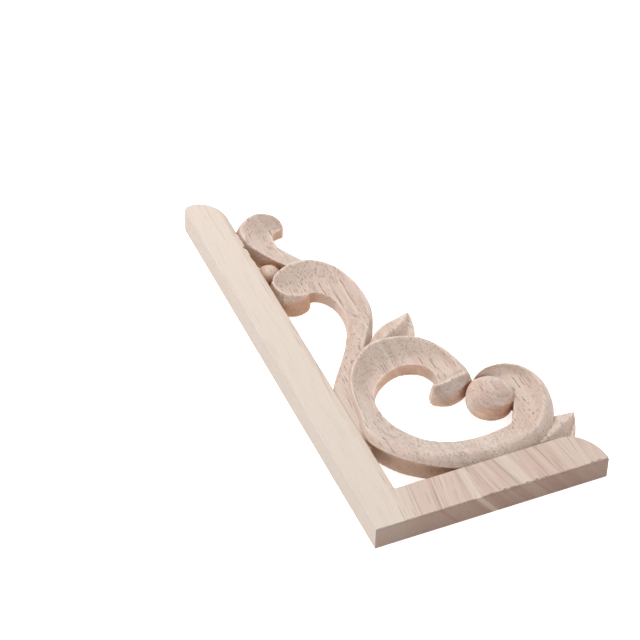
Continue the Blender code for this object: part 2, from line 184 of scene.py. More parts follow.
# The loop: a broad dished band from its curled inner end round to the thin end that laps over the ball.
# Outer edge first. At the top that edge is a raised rim; lower down the band rolls over a ridge.
LOOP_CUTS = (
    (91.6, 80.4, 72.2, 80.9),
    (92.2, 88.4, 74.3, 87.2),
    (90.1, 96.2, 73.9, 93.6),
    (86.6, 104.6, 71.0, 98.6),
    (80.4, 113.4, 66.2, 101.4),
    (71.9, 118.9, 60.6, 102.4),
    (62.0, 121.4, 54.6, 101.2),
    (52.0, 120.9, 49.2, 98.4),
    (42.8, 115.4, 44.4, 94.6),
    (35.2, 107.4, 40.6, 89.4),
    (30.2, 97.8, 38.2, 84.0),
    (27.3, 86.4, 37.5, 77.8),
    (25.2, 75.0, 38.1, 71.0),
    (21.6, 63.4, 40.2, 64.2),
    (24.4, 52.4, 44.4, 56.8),
    (31.4, 41.4, 50.2, 50.2),
    (42.0, 32.4, 58.0, 45.4),
    (56.0, 25.0, 67.4, 42.6),
    (74.0, 20.8, 78.0, 41.9),
    (94.0, 21.8, 88.2, 42.9),
    (108.4, 29.4, 95.8, 45.4),
    (117.2, 40.6, 101.2, 54.0),
    (121.9, 53.4, 105.3, 61.6),
    (122.8, 65.6, 107.1, 69.6),
    (119.2, 76.0, 104.2, 76.6),
    (111.4, 82.6, 98.8, 79.8),
    (101.4, 84.2, 93.6, 79.6),
    (93.0, 80.9, 89.6, 77.6),
    (88.2, 77.0, 87.4, 76.0),
)
LOOP_HEIGHTS = (
    (0, 0.26, (4.8, 5.8, 6.8, 7.2, 7.6, 7.4), 0.6, 0.0),
    (1, 0.25, (6.2, 8.0, 9.4, 8.8, 8.3, 8.1), 0.4, 0.0),
    (2, 0.18, (7.4, 9.0, 9.9, 8.5, 7.6, 7.8), 0.0, 0.0),
    (3, 0.13, (8.8, 9.9, 10.4, 8.7, 7.4, 7.6), 0.0, 0.0),
    (5, 0.08, (10.5, 11.1, 11.2, 9.2, 7.2, 7.3), 0.0, 0.0),
    (9, 0.08, (10.4, 11.0, 11.1, 9.1, 7.2, 7.4), 0.0, 0.0),
    (11, 0.09, (9.9, 10.5, 10.6, 9.1, 7.8, 7.6), 0.0, 0.0),
    (12, 0.12, (9.7, 10.3, 10.7, 9.4, 8.4, 7.8), 0.0, 0.0),
    (13, 0.20, (9.6, 10.6, 11.2, 10.2, 8.9, 7.9), 0.0, 0.0),
    (14, 0.26, (10.0, 11.0, 11.5, 10.5, 9.1, 8.0), 0.0, 0.0),
    (15, 0.27, (10.6, 11.4, 11.7, 10.6, 9.2, 8.0), 0.0, 0.0),
    (18, 0.41, (8.6, 10.8, 11.8, 10.8, 9.2, 7.9), 0.0, 0.0),
    (20, 0.33, (8.6, 10.8, 11.8, 9.8, 8.1, 7.8), 0.0, 0.0),
    (22, 0.20, (8.8, 10.6, 11.3, 8.8, 7.4, 7.4), 0.0, 0.0),
    (24, 0.17, (8.8, 10.2, 10.8, 8.2, 6.8, 6.4), 0.0, 0.0),
    (26, 0.22, (8.0, 9.2, 9.6, 8.8, 8.0, 7.2), 0.0, 0.0),
    (28, 0.30, (7.2, 7.8, 8.0, 8.0, 7.8, 7.4), 0.0, 0.0),
)

# The curled inner end of the loop, as cuts fanned out from its beak across to the ball
CURL_CUTS = (
    (68.9, 82.8, 71.6, 83.6),
    (68.5, 80.6, 73.0, 84.0),
    (70.2, 79.0, 75.4, 85.0),
    (73.4, 77.8, 78.2, 86.4),
    (77.2, 77.0, 81.6, 87.6),
    (81.6, 77.2, 85.0, 88.4),
    (86.6, 78.4, 89.4, 88.8),
    (90.8, 80.6, 92.0, 88.0),
)
CURL_HEIGHTS = (
    (0, 0.40, (7.0, 8.2, 8.9, 8.6, 7.6, 6.4), 1.4, 0.0),
    (1, 0.32, (6.9, 8.2, 9.2, 8.7, 7.4, 6.2), 2.0, 0.0),
    (2, 0.36, (6.8, 8.1, 9.3, 8.7, 7.2, 6.0), 3.4, 0.0),
    (3, 0.42, (6.8, 8.1, 9.3, 8.7, 7.2, 6.0), 4.0, 0.0),
    (4, 0.49, (6.8, 8.1, 9.4, 8.8, 7.2, 6.0), 4.2, 0.0),
    (5, 0.52, (6.8, 8.1, 9.4, 8.8, 7.2, 6.0), 3.4, 0.0),
    (6, 0.54, (7.0, 8.2, 9.3, 9.1, 8.6, 8.0), 1.8, 0.0),
    (7, 0.62, (5.4, 6.0, 6.4, 6.4, 6.4, 6.2), 0.8, 0.0),
)

# The small scroll near the top of the long leg: a dished head with a tip to the right, then a stem that
# runs down under the strand's head
HOOK_CUTS = (
    (47.6, 224.6, 46.2, 223.6),
    (47.4, 228.8, 44.2, 223.4),
    (44.6, 233.4, 41.8, 222.9),
    (39.6, 236.6, 39.9, 221.4),
    (34.0, 237.2, 39.0, 218.8),
    (28.6, 234.8, 38.6, 215.8),
    (23.8, 230.8, 38.5, 212.4),
    (21.6, 224.2, 38.6, 208.6),
    (22.2, 216.4, 38.7, 204.8),
    (26.0, 208.6, 39.0, 200.0),
    (30.6, 201.2, 40.4, 194.6),
    (36.0, 194.4, 43.6, 188.6),
    (40.6, 188.6, 47.4, 183.4),
)
HOOK_HEIGHTS = (
    (0, 0.10, (6.6, 6.6, 6.6, 6.4, 6.2, 6.2), 0.0, 0.0),
    (2, 0.09, (9.0, 9.7, 9.8, 8.0, 6.2, 5.9), 0.0, 0.0),
    (4, 0.09, (9.6, 10.4, 10.5, 8.3, 6.2, 6.1), 0.0, 0.0),
    (6, 0.10, (9.2, 10.1, 10.3, 8.4, 6.5, 6.5), 1.8, 0.4),
    (7, 0.11, (8.8, 9.9, 10.2, 8.4, 6.9, 6.9), 2.8, 0.8),
    (9, 0.14, (7.6, 8.7, 9.1, 8.0, 7.4, 7.2), 4.6, 0.8),
    (11, 0.16, (7.2, 7.8, 8.0, 7.6, 7.2, 7.0), 4.6, 0.8),
    (12, 0.16, (6.0, 6.2, 6.2, 6.2, 6.0, 5.8), 4.4, 0.8),
)

# The facet that falls away to the right from the scroll's stem down to the back
FLANK_CUTS = (
    (38.4, 216.6, 39.8, 220.4),
    (37.0, 212.8, 41.0, 218.0),
    (36.4, 208.6, 43.7, 212.7),
    (36.6, 203.0, 47.8, 205.9),
    (38.4, 197.0, 51.4, 199.0),
    (42.0, 190.0, 53.4, 192.0),
)
FLANK_HEIGHTS = (
    (0, 0.10, (6.0, 6.0, 6.0, 4.6, 2.2, 0.6), 0.0, 0.0),
    (2, 0.10, (7.2, 7.3, 7.4, 5.6, 2.6, 0.4), 0.0, 0.0),
    (3, 0.12, (7.2, 7.3, 7.3, 5.5, 2.6, 0.4), 0.0, 0.0),
    (5, 0.12, (6.6, 6.6, 6.6, 5.0, 2.4, 0.4), 0.0, 0.0),
)

# Two pointed leaves: base to tip, upper edge then lower edge, with a ridge between
INNER_LEAF_CUTS = (
    (49.6, 121.0, 62.4, 111.0),
    (58.6, 129.4, 71.5, 113.5),
    (66.5, 134.5, 77.4, 121.2),
    (74.2, 136.4, 80.6, 128.6),
    (80.7, 138.0, 81.4, 136.4),
)
INNER_LEAF_HEIGHTS = (
    (0, 0.25, (6.8, 8.0, 9.2, 7.8, 6.6, 6.4), 0.0, 0.0),
    (1, 0.31, (6.8, 8.2, 9.5, 7.6, 6.1, 6.0), 0.0, 0.0),
    (2, 0.45, (6.8, 8.2, 9.5, 7.5, 6.0, 6.0), 0.0, 0.0),
    (3, 0.46, (7.0, 8.2, 9.1, 7.5, 6.3, 6.2), 0.0, 0.0),
    (4, 0.50, (7.4, 7.8, 8.2, 7.6, 7.0, 6.8), 0.0, 0.0),
)
END_LEAF_CUTS = (
    (101.0, 34.0, 102.0, 17.0),
    (110.0, 38.8, 112.4, 16.0),
    (118.4, 41.3, 120.2, 24.4),
    (123.6, 40.8, 124.8, 31.6),
    (128.0, 39.9, 128.0, 38.8),
)
END_LEAF_HEIGHTS = (
    (0, 0.50, (6.8, 8.0, 9.2, 7.8, 6.6, 6.6), 0.0, 0.0),
    (1, 0.40, (6.8, 8.2, 9.5, 7.8, 6.1, 6.0), 0.0, 0.0),
    (2, 0.46, (6.8, 8.2, 9.5, 7.7, 6.1, 6.0), 0.0, 0.0),
    (3, 0.56, (7.0, 8.2, 9.1, 7.7, 6.5, 6.3), 0.0, 0.0),
    (4, 0.50, (7.4, 7.8, 8.2, 7.6, 7.0, 6.8), 0.0, 0.0),
)

# The flat strip that edges each leaf on its right
INNER_STRIP_CUTS = (
    (76.6, 119.6, 73.4, 121.0),
    (78.0, 121.9, 75.0, 123.4),
    (79.8, 125.9, 76.6, 126.8),
    (81.0, 130.3, 78.0, 131.1),
    (81.5, 134.6, 78.8, 134.4),
    (81.3, 137.4, 80.2, 136.8),
)
END_STRIP_CUTS = (
    (118.2, 21.6, 117.0, 22.6),
    (120.4, 24.7, 119.2, 25.5),
    (123.0, 28.5, 121.7, 29.4),
    (126.5, 34.6, 125.1, 35.5),
    (128.0, 39.2, 127.4, 39.0),
)
STRIP_HEIGHTS = (
    (0, 0.45, (6.3, 6.6, 6.7, 6.7, 6.6, 6.4), 0.3, 0.0),
    (2, 0.45, (6.4, 6.7, 6.8, 6.8, 6.7, 6.5), 0.3, 0.0),
    (3, 0.45, (6.8, 7.0, 7.1, 7.1, 7.0, 6.8), 0.2, 0.0),
    (4, 0.45, (7.4, 7.6, 7.7, 7.7, 7.6, 7.4), 0.0, 0.0),
)

# Round forms: (radius, height) from the crown out
BALL_CENTRE = (94.6, 67.0)
BALL_PROFILE = ((0.0, 13.0), (3.6, 12.7), (7.0, 11.8), (9.6, 10.6), (11.3, 9.2), (12.1, 7.6),
                (12.4, 5.6))
BALL_WALL = ((12.3, 3.2), (11.9, 0.0))
BUD_CENTRE = (26.8, 194.6)
BUD_PROFILE = ((0.0, 8.2), (2.6, 7.8), (4.8, 6.6), (6.2, 4.6), (6.7, 2.4), (6.9, 0.0))
BUD_STRETCH = 1.15
ROUND_STEPS = 72
CROWN_STEPS = 14
SAME_POINT = 0.01


def placed(x, y, z):
    """A point of the drawing, in the part's own frame and in metres."""
    return ((x - ORIGIN[0]) * MM, (y - ORIGIN[1]) * MM, z * MM)


def shown(name, data):
    """A new object of the scene."""
    item = bpy.data.objects.new(name, data)
    bpy.context.scene.collection.objects.link(item)
    return item


def natural_spline(knots, values, at):
    """Natural cubic through the values at the knots, read at the places asked for."""
    knots = np.asarray(knots, float)
    values = np.asarray(values, float)
    count = len(knots)
    gaps = np.diff(knots)
    slopes = np.diff(values, axis=0) / gaps[:, None]
    matrix = np.eye(count)
    right = np.zeros_like(values)
    for i in range(1, count - 1):
        matrix[i, i - 1] = gaps[i - 1]
        matrix[i, i] = 2 * (gaps[i - 1] + gaps[i])
        matrix[i, i + 1] = gaps[i]
        right[i] = 6 * (slopes[i] - slopes[i - 1])
    bend = np.linalg.solve(matrix, right)
    cell = np.clip(np.searchsorted(knots, at, side="right") - 1, 0, count - 2)
    gap = gaps[cell][:, None]
    before = ((knots[cell + 1] - at)[:, None]) / gap
    after = 1 - before
    straight = before * values[cell] + after * values[cell + 1]
    curve = (before ** 3 - before) * bend[cell] + (after ** 3 - after) * bend[cell + 1]
    return straight + curve * gap ** 2 / 6


def steady_curve(knots, values, at):
    """Smooth curve through the values that never swings past them."""
    knots = np.asarray(knots, float)
    values = np.asarray(values, float)
    gaps = np.diff(knots)[:, None]
    slopes = np.diff(values, axis=0) / gaps
    left, right = slopes[:-1], slopes[1:]
    together = left * right > 0
    mean = np.where(together, 2 * left * right / np.where(together, left + right, 1), 0)
    tangents = np.concatenate([slopes[:1], mean, slopes[-1:]])
    cell = np.clip(np.searchsorted(knots, at, side="right") - 1, 0, len(knots) - 2)
    gap = gaps[cell]
    t = (np.asarray(at, float) - knots[cell])[:, None] / gap
    start = (1 + 2 * t) * (1 - t) ** 2 * values[cell] + t * (1 - t) ** 2 * gap * tangents[cell]
    end = t ** 2 * (3 - 2 * t) * values[cell + 1] + t ** 2 * (t - 1) * gap * tangents[cell + 1]
    return start + end


def stations(cuts, heights):
    """Edges, heights and flares of a band at even steps along it, from its cuts."""
    cuts = np.array(cuts, float)
    middle = (cuts[:, :2] + cuts[:, 2:]) / 2
    runs = [np.linalg.norm(np.diff(line, axis=0), axis=1) for line in (cuts[:, :2], cuts[:, 2:], middle)]
    run = np.concatenate([[0], np.cumsum(sum(runs) / 3)])
    at = np.linspace(0, run[-1], max(FEWEST_STEPS, int(run[-1] / STEP)) + 1)
    edges = natural_spline(run, cuts, at)
    places = np.interp(at, run, np.arange(len(cuts)))
    keys = [row[0] for row in heights]
    table = np.array([[row[1], *row[2], row[3], row[4]] for row in heights])
    return edges, steady_curve(keys, table, places)


def section(edge, level, bulging):
    """One closed cross-section of a band: up the outer wall, across the top and down the inner wall."""
    outer, inner = edge[:2], edge[2:]
    width = np.linalg.norm(inner - outer)
    across = (inner - outer) / width
    ridge, tops, flares = level[0], level[1:7], level[7:]
    shares = [0, ridge * RISE_SHARE, ridge, *(ridge + (1 - ridge) * share for share in DISH_SHARES), 1]
    reach = (1 - np.cos(np.linspace(0, pi, TOP_STEPS + 1))) / 2
    top = steady_curve(shares, tops[:, None], reach)[:, 0]
    dish = natural_spline(shares[2:], tops[2:, None], np.maximum(reach, ridge))[:, 0]
    crisp = np.clip((CRISP_TO - ridge) / (CRISP_TO - CRISP_FROM), 0, 1)
    top = np.where(reach > ridge, crisp * dish + (1 - crisp) * top, top)
    climb = np.linspace(0, 1, WALL_STEPS + 1)[:-1]
    lean = np.clip((climb - SHOULDER) / (1 - SHOULDER), 0, 1)
    lean = 1 - climb ** 2 if bulging else 1 - lean ** 2 * (3 - 2 * lean)
    ring = [(*(outer - across * flares[0] * out), tops[0] * up) for out, up in zip(lean, climb)]
    ring += [(*(outer + (inner - outer) * share), height) for share, height in zip(reach, top)]
    down = zip(lean[::-1], climb[::-1])
    ring += [(*(inner + across * flares[1] * out), tops[-1] * up) for out, up in down]
    return [placed(*point) for point in ring]


def band(cuts, heights, bulging=False):
    """A carved band: the end face is extruded from one cross-section to the next."""
    edges, levels = stations(cuts, heights)
    mesh = bmesh.new()
    first = [mesh.verts.new(point) for point in section(edges[0], levels[0], bulging)]
    face = mesh.faces.new(first)
    for edge, level in zip(edges[1:], levels[1:]):
        face = bmesh.ops.extrude_discrete_faces(mesh, faces=[face])["faces"][0]
        for vert, point in zip(face.verts, section(edge, level, bulging)):
            vert.co = point
    mesh.faces.new(first[::-1])
    return mesh


def turned(centre, profile, stretch=1.0):
    """A round form: half a profile spun about an upright axis, closed below."""
    mesh = bmesh.new()
    points = [placed(centre[0] + radius, centre[1], height) for radius, height in profile]
    points.append(placed(centre[0], centre[1], 0))
    chain = [mesh.verts.new(point) for point in points]
    for above, below in zip(chain, chain[1:]):
        mesh.edges.new((above, below))
    axis = placed(centre[0], centre[1], 0)
    bmesh.ops.spin(mesh, geom=mesh.verts[:] + mesh.edges[:], cent=axis, axis=(0, 0, 1), angle=2 * pi,
                   steps=ROUND_STEPS, use_merge=True)
    bmesh.ops.remove_doubles(mesh, verts=mesh.verts, dist=SAME_POINT * MM)
    for vert in mesh.verts:
        vert.co.y = axis[1] + (vert.co.y - axis[1]) * stretch
    return mesh


def crown(profile):
    """A profile's points joined by a smooth curve."""
    radii = np.array([point[0] for point in profile])
    heights = np.array([point[1] for point in profile])
    at = np.linspace(0, 1, CROWN_STEPS + 1)
    run = np.linspace(0, 1, len(profile))
    return [tuple(pair) for pair in natural_spline(run, np.stack([radii, heights], axis=1), at)]


def quarter(centre, radii, start, steps):
    """Points along a quarter of an ellipse, from the start angle anticlockwise."""
    angles = [radians(start + 90 * i / steps) for i in range(steps + 1)]
    return [(centre[0] + radii[0] * cos(a), centre[1] + radii[1] * sin(a)) for a in angles]


def leg_outline():
    """The L: straight outer edges, and at each end one big curve back to the inner edge."""
    short_end = quarter((SHORT_LENGTH - SHORT_SWEEP, 0), (SHORT_SWEEP, SHORT_WIDTH), 0, END_STEPS)
    sweep_radii = (LONG_WIDTH - LONG_NOSE, LONG_SWEEP)
    long_sweep = quarter((LONG_NOSE, LONG_LENGTH - LONG_SWEEP), sweep_radii, 0, END_STEPS)
    long_nose = quarter((LONG_NOSE, LONG_LENGTH - LONG_NOSE), (LONG_NOSE, LONG_NOSE), 90, NOSE_STEPS)
    return [(0, 0)] + short_end + [(LONG_WIDTH, SHORT_WIDTH)] + long_sweep + long_nose[1:]


def legs():
    """The two legs as one flat board."""
    mesh = bmesh.new()
    face = mesh.faces.new([mesh.verts.new(placed(x, y, 0)) for x, y in leg_outline()])
    raised = bmesh.ops.extrude_face_region(mesh, geom=[face])["geom"]
    lifted = [item for item in raised if isinstance(item, bmesh.types.BMVert)]
    bmesh.ops.translate(mesh, verts=lifted, vec=(0, 0, BOARD * MM))
    return mesh


def joined(name, shells):
    """The shells as one object, each with its faces turned outwards."""
    whole = bmesh.new()
    for shell in shells:
        bmesh.ops.recalc_face_normals(shell, faces=shell.faces)
        part = bpy.data.meshes.new("shell")
        shell.to_mesh(part)
        shell.free()
        whole.from_mesh(part)
        bpy.data.meshes.remove(part)
    data = bpy.data.meshes.new(name)
    whole.to_mesh(data)
    whole.free()
    return shown(name, data)


def settled(item):
    """Turn the modifiers of an object into its mesh."""
    evaluated = item.evaluated_get(bpy.context.evaluated_depsgraph_get())
    old = item.data
    item.data = bpy.data.meshes.new_from_object(evaluated)
    item.modifiers.clear()
    bpy.data.meshes.remove(old)


def skinned(item):
    """One closed skin over all the shells, with its edges softened."""
    skin = item.modifiers.new("skin", "REMESH")
    skin.mode = "VOXEL"
    skin.voxel_size = VOXEL * MM
    skin.adaptivity = 0
    soften = item.modifiers.new("soften", "SMOOTH")
    soften.factor = SOFTEN_SHARE
    soften.iterations = SOFTENING
    settled(item)


def thinned(item):
    """Fewer triangles where the surface is flat."""
    count = sum(len(face.vertices) - 2 for face in item.data.polygons)
    if count > SKIN_TRIANGLES:
        thin = item.modifiers.new("thin", "DECIMATE")
        thin.decimate_type = "COLLAPSE"
        thin.ratio = SKIN_TRIANGLES / count
        settled(item)
    item.data.shade_smooth()
    even = item.modifiers.new("even", "WEIGHTED_NORMAL")
    even.weight = NORMAL_WEIGHT
    settled(item)


def lattice_noise(points, seed):
    """Smooth noise from -1 to 1, one bump for each unit of the points."""
    cell = np.floor(points).astype(np.int64)
    part = points - cell
    part = part * part * (3 - 2 * part)
    total = np.zeros(len(points))
    for corner in np.ndindex(2, 2, 2):
        at = cell + corner
        mixed = seed * NOISE_SEED
        for axis, factor in enumerate(NOISE_AXES):
            mixed = mixed ^ (at[:, axis] * factor)
        mixed = (mixed ^ (mixed >> 13)) * NOISE_MIX & 0x7FFFFFFF
        value = ((mixed ^ (mixed >> 16)) & 0xFFFF) / (0xFFFF / 2) - 1
        weight = np.prod(np.where(np.array(corner) == 1, part, 1 - part), axis=1)
        total += value * weight
    return total


def per_vertex(mesh, name):
    """The places (co) or directions (normal) of a mesh's vertices."""
    values = np.empty(len(mesh.vertices) * 3)
    mesh.vertices.foreach_get(name, values)
    return values.reshape(-1, 3)


def worn(item):
    """The marks of cutting: a slightly uneven surface, and chipped edges on the two legs."""
    mesh = item.data
    corner = np.array([*ORIGIN, 0])
    places = per_vertex(mesh, "co") / MM + corner
    normals = per_vertex(mesh, "normal")
    above = np.clip(places[:, 2] / UNEVEN_FADE, 0, 1)
    carved = np.clip((BOARD - PLANED_SKIN - places[:, 2]) / UNEVEN_FADE, 0, 1) * above
    uneven = sum(height * lattice_noise(places / wave, seed) for height, wave, seed in UNEVEN)
    places += normals * (uneven * carved)[:, None]
    chamfered(places)
    places = np.clip(places, 0, (FAR_RIGHT, LONG_LENGTH, BOARD)) - corner
    mesh.vertices.foreach_set("co", (places * MM).ravel())
    mesh.update()


def chamfered(places):
    """Take the sharpness off the legs' top edge, and tear it where the tools tore it."""
    outline = np.array(leg_outline())
    ahead = np.roll(outline, -1, axis=0) - outline
    spans = np.linalg.norm(ahead, axis=1)
    ahead /= spans[:, None]
    inward = np.stack([-ahead[:, 1], ahead[:, 0]], axis=1)
    near = np.flatnonzero(places[:, 2] > BOARD - EDGE_REACH)
    near = near[near_legs(places[near])]
    spots = places[near]
    x, y, z = spots.T
    offset = spots[:, None, :2] - outline[None]
    run = np.clip((offset * ahead).sum(axis=2), 0, spans)
    gap = np.linalg.norm(offset - run[:, :, None] * ahead, axis=2)
    side = gap.argmin(axis=1)
    depth = (offset[np.arange(len(side)), side] * inward[side]).sum(axis=1)

    def rough(along, wave, seed):
        line = np.zeros((len(spots), 3))
        line[:, 0] = along / wave
        return lattice_noise(line, seed)

    def torn(along, coarse, fine):
        return np.clip(rough(along, *coarse) + 0.5 * rough(along, *fine), 0, 1)

    size = EDGE_SOFT + EDGE_WAVER * rough(x, *X_WAVER) + EDGE_WAVER * rough(y, *Y_WAVER)
    # the front edge is cut across the grain and torn towards its end
    front = (y < EDGE_NEAR) * np.clip((x - FRONT_TORN_FROM) / FRONT_TORN_FADE, 0, 1)
    size += front * FRONT_TEAR * torn(x, *FRONT_TEAR_WAVES)
    # the long leg's inner edge is torn beside the small scroll
    beside = np.clip(1 - np.abs(y - SCROLL_TORN_AT) / SCROLL_TORN_REACH, 0, 1)
    size += (np.abs(x - LONG_WIDTH) < EDGE_NEAR) * beside * SCROLL_TEAR * torn(y, *SCROLL_TEAR_WAVES)
    cut = np.clip(size - np.abs(depth) - (BOARD - z), 0, None) / 2
    places[near, :2] += cut[:, None] * inward[side]
    places[near, 2] -= cut


def near_legs(spots):
    """Which of these spots are on the legs, not on the carving between them."""
    return (spots[:, 0] < LONG_WIDTH + LEG_MARGIN) | (spots[:, 1] < SHORT_WIDTH + LEG_MARGIN)


def marked(item):
    """Note on each vertex how edged it is and how much of its sky the wood itself hides."""
    mesh = item.data
    count = len(mesh.vertices)
    places = per_vertex(mesh, "co") / MM
    normals = per_vertex(mesh, "normal")
    ends = np.empty(len(mesh.edges) * 2, int)
    mesh.edges.foreach_get("vertices", ends)
    first, second = ends.reshape(-1, 2).T
    degree = np.bincount(first, minlength=count) + np.bincount(second, minlength=count)

    def gathered(values):
        return np.bincount(first, values[second], count) + np.bincount(second, values[first], count)

    def spread(values, rounds):
        for _ in range(rounds):
            values = (values + gathered(values) / degree) / 2
        return values

    middle = np.stack([gathered(places[:, axis]) for axis in range(3)], axis=1) / degree[:, None]
    bulge = -((middle - places) * normals).sum(axis=1)
    noted(mesh, "edged", spread(bulge, EDGED_ROUNDS) / EDGED_FULL)

    mesh.calc_loop_triangles()
    corners = np.empty(len(mesh.loop_triangles) * 3, int)
    mesh.loop_triangles.foreach_get("vertices", corners)
    cast = BVHTree.FromPolygons(places.tolist(), corners.reshape(-1, 3).tolist()).ray_cast
    draws = np.random.default_rng(HIDDEN_SEED)
    hidden = np.zeros(count)
    starts = places + normals * HIDDEN_LIFT
    for _ in range(HIDDEN_RAYS):
        ways = draws.normal(size=(count, 3))
        ways /= np.linalg.norm(ways, axis=1)[:, None]
        ways = normals * HIDDEN_LEAN + ways
        ways /= np.linalg.norm(ways, axis=1)[:, None]
        hidden += [cast(Vector(start), Vector(way), HIDDEN_REACH)[0] is not None
                   for start, way in zip(starts, ways)]
    noted(mesh, "hidden", spread(hidden / HIDDEN_RAYS, HIDDEN_ROUNDS))


def noted(mesh, name, values):
    """Store one number per vertex under a name."""
    layer = mesh.attributes.new(name, "FLOAT", "POINT")
    layer.data.foreach_set("value", np.ascontiguousarray(values, np.float32))


# The wood's own colours
CREAM = (0.628, 0.545, 0.480, 1)
CREAM_STREAK = (0.60, 0.50, 0.40, 1)
PINK = (0.525, 0.385, 0.325, 1)
PALE = (0.615, 0.515, 0.440, 1)
DARK_STREAK = (0.40, 0.27, 0.215, 1)
PORE = (0.20, 0.115, 0.08, 1)

# The glue line between the pale stave and the pink one, and the carving's distance past it
GLUE_LINE = 15.6
GLUE_SLOPE = 0.045
GLUE_DRIFT = 1.0
GLUE_SPAN = (-0.25, 0.25)
CARVED_SPAN = (3.6, 4.6)
ROOT_SPAN = (SHORT_WIDTH, SHORT_WIDTH + 1)

# How the grain leans from side to side, across the board: (x, lean) from 0 to 1, 0.5 standing straight
LEAN_SPAN = 128
LEAN_RANGE = 0.6
LEAN_UP_TO = 40.0
LEAN = ((20, 0.60), (30, 0.72), (50, 0.72), (57, 0.40), (62, 0.12), (74, 0.12), (84, 0.25), (104, 0.28),
        (112, 0.5))
# How far it wanders further up the board
WANDER = 13.0
WANDER_SCALE = 0.016
WANDER_SPAN = (5.0, 60.0)
# The growth streaks across the board: (place, tone), 0 dark and pink, 1 pale
RING_LEAN = 0.79
STREAK_SPAN = 140
STREAKS = ((30, 0.55), (43, 0.55), (44.9, 0.1), (46.4, 0.6), (59.4, 0.5), (61.4, 0.1), (62.8, 0.6),
           (63.8, 1.0), (66.2, 1.0), (67.4, 0.5), (72.2, 0.2), (74.6, 0.2), (76, 0.5), (81.6, 0.5),
           (82.9, 0.1), (84.4, 0.5), (86.4, 0.2), (88, 0.6), (91.6, 0.9), (94.2, 0.9), (95.7, 0.1),
           (97.2, 0.5), (101.4, 0.2), (104, 0.1), (106, 0.5), (111.4, 0.25), (114.4, 0.3), (117, 0.6))
FAINTER_ON_CARVING = 0.5
STREAK_SHARE = 0.5
GLUE_PALER = 0.2
GLUE_PALER_SPAN = (2.0, 12.0)
TONE_SPAN = (0.24, 0.76)

# Noise patterns across the rings: waves per millimetre of ring, along Y and along Z, then detail and
# roughness. The growth bands have a fixed third coordinate in place of the waves along Z.
BANDS = ((0.30, 0.006), 3.0, 2.0, 0.6)
LINES = ((2.7, 0.02, 0.3), 3.0, 0.7)
# The same on the board: waves along X, Y and Z. The ball's arcs have a fixed third coordinate too.
ARCS = ((0.35, 0.03, 1.5), 5.0, 2.0, 0.6)
FUZZ = ((1.5, 0.9, 1.5), 3.0, 0.7)
FIBRES = ((2.2, 0.18, 2.2), 4.0, 0.7)
# How much of the dark or brown streaks shows, and the spans of noise that bring them in
PINK_LINE_SPAN = (0.50, 0.72)
PINK_LINE_SHARE = 0.46
CREAM_LINE_SPAN = (0.42, 0.70)
CREAM_LINE_SHARE = 0.75
ARC_SPAN = (0.46, 0.62)
ARC_SHARE = 0.34
BALL_REACH = (12.5, 13.0)
MOTTLE_SPAN = (0.30, 0.70)
MOTTLE_DARK = (0.90, 0.89, 0.88, 1)
MOTTLE_LIGHT = (1.06, 1.06, 1.06, 1)
MOTTLE_ON_LEGS = 0.2

# The one pale ray on the front wall: the rings where it starts and ends, and how deep it goes
RAY = (1.32, 1.38, 1.36, 1)
RAY_START = (63.4, 64.4)
RAY_END = (66.2, 67.2)
RAY_DEPTH = (0.2, 1.2)

# Pores: the mean gap between vessels, their radius, how far they wander, and a seed
FINE_PORES = (0.80, 0.225, 2.0, 3.1)
COARSE_PORES = (1.7, 0.215, 2.4, 7.7)
FINE_DEPTH = 0.76
COARSE_DEPTH = 0.9
PORE_DRIFT = (0.30, 0.023, 0.30)
PORE_SMALLEST = 0.3
PORE_FAINTEST = 0.4
PORE_EDGE = 0.4
PORE_SHARE = 0.92
FEWER_ON_LEGS = 0.45
FEWER_ON_CREAM = 0.6
FEWER_ON_WALLS = 0.6
WALL_SPAN = (0.15, 0.5)
LEVEL_SPAN = (0.93, 0.99)
MORE_ON_LEVEL = 0.45
SHARE_ON_SLOPES = 0.85

# Tints multiply the wood's colour. A tint comes in along its span, from none at the start to all at the end;
# a reach is the opposite, all within its start and none beyond its end.
END_GRAIN = (0.43, 0.37, 0.345, 1)
END_GRAIN_SPAN = (0.1, 1.0)
# Painted shade: the legs' side walls, facing left or right, are darker
SIDE_WALL_SHADE = (0.86, 0.85, 0.86, 1)
SIDE_WALL_SHADE_SPAN = (0.3, 1.0)
UPRIGHT_SPAN = (0.3, 0.85)
# Partly the carved walls' cut grain, partly painted warm shade on them
SAWN_WALL_AND_WARM_SHADE = (0.94, 0.80, 0.695, 1)
SAWN_SPAN = (0.1, 0.8)
CUT_ACROSS = (0.84, 0.82, 0.82, 1)
CUT_ACROSS_SPAN = (0.75, 1.0)
# Painted shade: carved slopes that face a little to the front are darker
FRONT_SHADE = (0.89, 0.90, 0.90, 1)
FRONT_SHADE_SPAN = (0.03, 0.30)
FRONT_SHADE_END_SPAN = (0.4, 0.6)
FRONT_SHADE_END_SHARE = 0.8
# Painted light: slopes facing right and away are paler and bluer
FAR_SIDE_LIGHT = (1.04, 1.09, 1.13, 1)
FAR_SPAN = (0.12, 0.45)
# Painted shade on gentle slopes facing left
LEFT_SIDE_SHADE = (0.95, 0.90, 0.88, 1)
LEFT_SPAN = (0.12, 0.40)
LEFT_LEVEL_SPAN = (0.6, 0.85)
# Painted light on slopes facing right and to the front, less on walls
RIGHT_SIDE_LIGHT = (1.24, 1.20, 1.20, 1)
RIGHT_SPAN = (0.40, 1.0)
RIGHT_AHEAD = 0.8
RIGHT_LESS_ON_WALLS = 0.55
